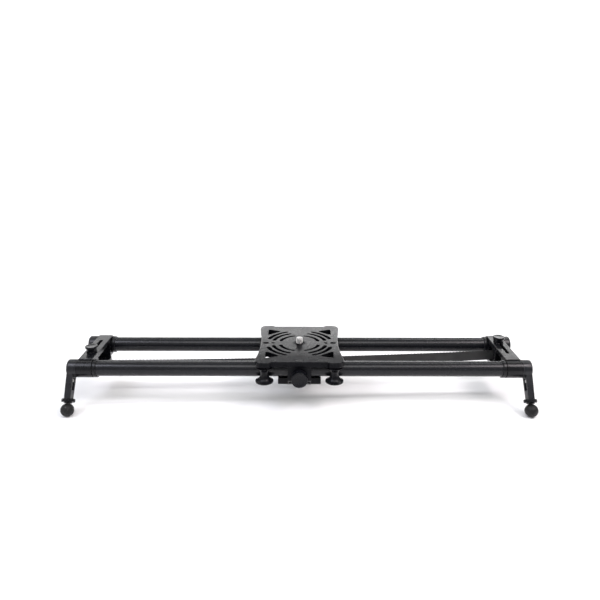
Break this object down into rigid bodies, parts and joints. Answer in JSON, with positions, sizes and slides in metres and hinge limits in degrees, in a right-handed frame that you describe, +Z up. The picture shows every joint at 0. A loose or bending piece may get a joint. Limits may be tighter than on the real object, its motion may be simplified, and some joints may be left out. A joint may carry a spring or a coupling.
{
  "type": "camera slider",
  "caption": "Camera slider: a slotted carriage plate rolls along parallel round rails between end blocks with folding ball-footed legs, a brake knob and a toothed belt.",
  "frame": {"origin": "on the floor under the middle of the slider, midway between the rails", "axes": "+X along the rails to the right, +Y to the back, +Z up"},
  "size_m": [0.665, 0.1766, 0.087],
  "materials": {
    "rail_anodised": "black hard-anodised tube, satin",
    "block_anodised": "black anodised, fine bead-blasted satin",
    "plate_anodised": "black anodised plate, satin with fine grain",
    "leg_anodised": "black anodised, satin",
    "knob_plastic": "matte black moulded",
    "roller_plastic": "turned black acetal, glossy",
    "nylon_white": "natural nylon",
    "foot_rubber": "matte black rubber",
    "belt_rubber": "toothed black rubber",
    "zinc_steel": "bright zinc-plated",
    "black_steel": "black-oxide steel",
    "bearing_steel": "polished bearing steel"
  },
  "bodies": {
    "frame": {"front_rail": "rail_anodised", "rear_rail": "rail_anodised", "left_end_block": "block_anodised", "right_end_block": "block_anodised", "rail_end_plugs": "zinc_steel", "rail_collars": "block_anodised", "leg_pivot_bolts": "black_steel", "leg_pivot_washers": "zinc_steel", "timing_belt": "belt_rubber", "left_belt_anchor": "block_anodised", "right_belt_anchor": "block_anodised", "belt_anchor_screws": "black_steel", "end_knob_washers": "zinc_steel"},
    "left_knob": {"left_end_knob": "knob_plastic", "left_end_knob_stud": "zinc_steel"},
    "right_knob": {"right_end_knob": "knob_plastic", "right_end_knob_stud": "zinc_steel"},
    "carriage": {"carriage_plate": "plate_anodised", "camera_screw_washer": "nylon_white", "roller_bearings": "bearing_steel", "roller_axles": "black_steel", "roller_spacers": "zinc_steel", "brake_bracket": "block_anodised", "bracket_screws": "black_steel"},
    "camera_screw": {"camera_screw": "zinc_steel"},
    "brake_knob": {"brake_knob": "knob_plastic", "brake_spindle": "zinc_steel"},
    "brake_plunger": {"brake_plunger": "zinc_steel", "brake_pad": "nylon_white"},
    "leg_front_left": {"leg_arm_front_left": "leg_anodised"},
    "wheel_front_left": {"foot_wheel_front_left": "knob_plastic"},
    "foot_front_left": {"foot_stud_front_left": "zinc_steel", "foot_stop_nut_front_left": "zinc_steel", "foot_ball_front_left": "foot_rubber"},
    "roller_front_left": {"roller_front_left": "roller_plastic"},
    "leg_front_right": {"leg_arm_front_right": "leg_anodised"},
    "wheel_front_right": {"foot_wheel_front_right": "knob_plastic"},
    "foot_front_right": {"foot_stud_front_right": "zinc_steel", "foot_stop_nut_front_right": "zinc_steel", "foot_ball_front_right": "foot_rubber"},
    "roller_front_right": {"roller_front_right": "roller_plastic"},
    "leg_rear_left": {"leg_arm_rear_left": "leg_anodised"},
    "wheel_rear_left": {"foot_wheel_rear_left": "knob_plastic"},
    "foot_rear_left": {"foot_stud_rear_left": "zinc_steel", "foot_stop_nut_rear_left": "zinc_steel", "foot_ball_rear_left": "foot_rubber"},
    "roller_rear_left": {"roller_rear_left": "roller_plastic"},
    "leg_rear_right": {"leg_arm_rear_right": "leg_anodised"},
    "wheel_rear_right": {"foot_wheel_rear_right": "knob_plastic"},
    "foot_rear_right": {"foot_stud_rear_right": "zinc_steel", "foot_stop_nut_rear_right": "zinc_steel", "foot_ball_rear_right": "foot_rubber"},
    "roller_rear_right": {"roller_rear_right": "roller_plastic"}
  },
  "joints": [
    {"name": "carriage_slide", "type": "slide", "parent": "frame", "child": "carriage", "axis": [1, 0, 0], "range_m": [-0.224, 0.224]},
    {"name": "leg_fold_front_left", "type": "hinge", "parent": "frame", "child": "leg_front_left", "pos_m": [-0.3214, -0.045, 0.05729], "axis": [-1, 0, 0], "range_deg": [-60, 54.7]},
    {"name": "wheel_turn_front_left", "type": "hinge", "parent": "leg_front_left", "child": "wheel_front_left", "pos_m": [-0.3232, -0.07141, 0.01999], "axis": [0, -0.5779, -0.8161], "range_deg": [0, 4952]},
    {"name": "foot_extend_front_left", "type": "slide", "parent": "leg_front_left", "child": "foot_front_left", "axis": [0, -0.5779, -0.8161], "range_m": [0, 0.011]},
    {"name": "roller_spin_front_left", "type": "hinge", "parent": "carriage", "child": "roller_front_left", "pos_m": [-0.049, -0.0616, 0.05729], "axis": [0, 0, 1], "range_deg": [-2320, 2320]},
    {"name": "leg_fold_front_right", "type": "hinge", "parent": "frame", "child": "leg_front_right", "pos_m": [0.3214, -0.045, 0.05729], "axis": [-1, 0, 0], "range_deg": [-60, 54.7]},
    {"name": "wheel_turn_front_right", "type": "hinge", "parent": "leg_front_right", "child": "wheel_front_right", "pos_m": [0.3232, -0.07141, 0.01999], "axis": [0, -0.5779, -0.8161], "range_deg": [0, 4952]},
    {"name": "foot_extend_front_right", "type": "slide", "parent": "leg_front_right", "child": "foot_front_right", "axis": [0, -0.5779, -0.8161], "range_m": [0, 0.011]},
    {"name": "roller_spin_front_right", "type": "hinge", "parent": "carriage", "child": "roller_front_right", "pos_m": [0.049, -0.0616, 0.05729], "axis": [0, 0, 1], "range_deg": [-2320, 2320]},
    {"name": "leg_fold_rear_left", "type": "hinge", "parent": "frame", "child": "leg_rear_left", "pos_m": [-0.3214, 0.045, 0.05729], "axis": [1, 0, 0], "range_deg": [-60, 54.7]},
    {"name": "wheel_turn_rear_left", "type": "hinge", "parent": "leg_rear_left", "child": "wheel_rear_left", "pos_m": [-0.3232, 0.07141, 0.01999], "axis": [0, 0.5779, -0.8161], "range_deg": [0, 4952]},
    {"name": "foot_extend_rear_left", "type": "slide", "parent": "leg_rear_left", "child": "foot_rear_left", "axis": [0, 0.5779, -0.8161], "range_m": [0, 0.011]},
    {"name": "roller_spin_rear_left", "type": "hinge", "parent": "carriage", "child": "roller_rear_left", "pos_m": [-0.049, 0.0616, 0.05729], "axis": [0, 0, 1], "range_deg": [-2320, 2320]},
    {"name": "leg_fold_rear_right", "type": "hinge", "parent": "frame", "child": "leg_rear_right", "pos_m": [0.3214, 0.045, 0.05729], "axis": [1, 0, 0], "range_deg": [-60, 54.7]},
    {"name": "wheel_turn_rear_right", "type": "hinge", "parent": "leg_rear_right", "child": "wheel_rear_right", "pos_m": [0.3232, 0.07141, 0.01999], "axis": [0, 0.5779, -0.8161], "range_deg": [0, 4952]},
    {"name": "foot_extend_rear_right", "type": "slide", "parent": "leg_rear_right", "child": "foot_rear_right", "axis": [0, 0.5779, -0.8161], "range_m": [0, 0.011]},
    {"name": "roller_spin_rear_right", "type": "hinge", "parent": "carriage", "child": "roller_rear_right", "pos_m": [0.049, 0.0616, 0.05729], "axis": [0, 0, 1], "range_deg": [-2320, 2320]},
    {"name": "left_knob_turn", "type": "hinge", "parent": "frame", "child": "left_knob", "pos_m": [-0.3023, -0.0195, 0.07729], "axis": [0, 0, 1], "range_deg": [0, 720]},
    {"name": "right_knob_turn", "type": "hinge", "parent": "frame", "child": "right_knob", "pos_m": [0.3023, 0.0195, 0.07729], "axis": [0, 0, 1], "range_deg": [0, 720]},
    {"name": "camera_screw_turn", "type": "hinge", "parent": "carriage", "child": "camera_screw", "pos_m": [0, 0, 0.06999], "axis": [0, 0, 1], "continuous": true},
    {"name": "brake_knob_turn", "type": "hinge", "parent": "carriage", "child": "brake_knob", "pos_m": [0, -0.075, 0.05569], "axis": [0, 1, 0], "range_deg": [-181, 250]},
    {"name": "brake_press", "type": "slide", "parent": "carriage", "child": "brake_plunger", "axis": [0, 1, 0], "range_m": [-0.0005, 0.00069]}
  ],
  "couplings": [
    {"joint": "wheel_turn_front_left", "follows": "foot_extend_front_left", "rad_per_m": 7854},
    {"joint": "roller_spin_front_left", "follows": "carriage_slide", "rad_per_m": 180.18},
    {"joint": "wheel_turn_front_right", "follows": "foot_extend_front_right", "rad_per_m": 7854},
    {"joint": "roller_spin_front_right", "follows": "carriage_slide", "rad_per_m": 180.18},
    {"joint": "wheel_turn_rear_left", "follows": "foot_extend_rear_left", "rad_per_m": 7854},
    {"joint": "roller_spin_rear_left", "follows": "carriage_slide", "rad_per_m": -180.18},
    {"joint": "wheel_turn_rear_right", "follows": "foot_extend_rear_right", "rad_per_m": 7854},
    {"joint": "roller_spin_rear_right", "follows": "carriage_slide", "rad_per_m": -180.18},
    {"joint": "brake_knob_turn", "follows": "brake_press", "rad_per_m": 6283.2}
  ]
}
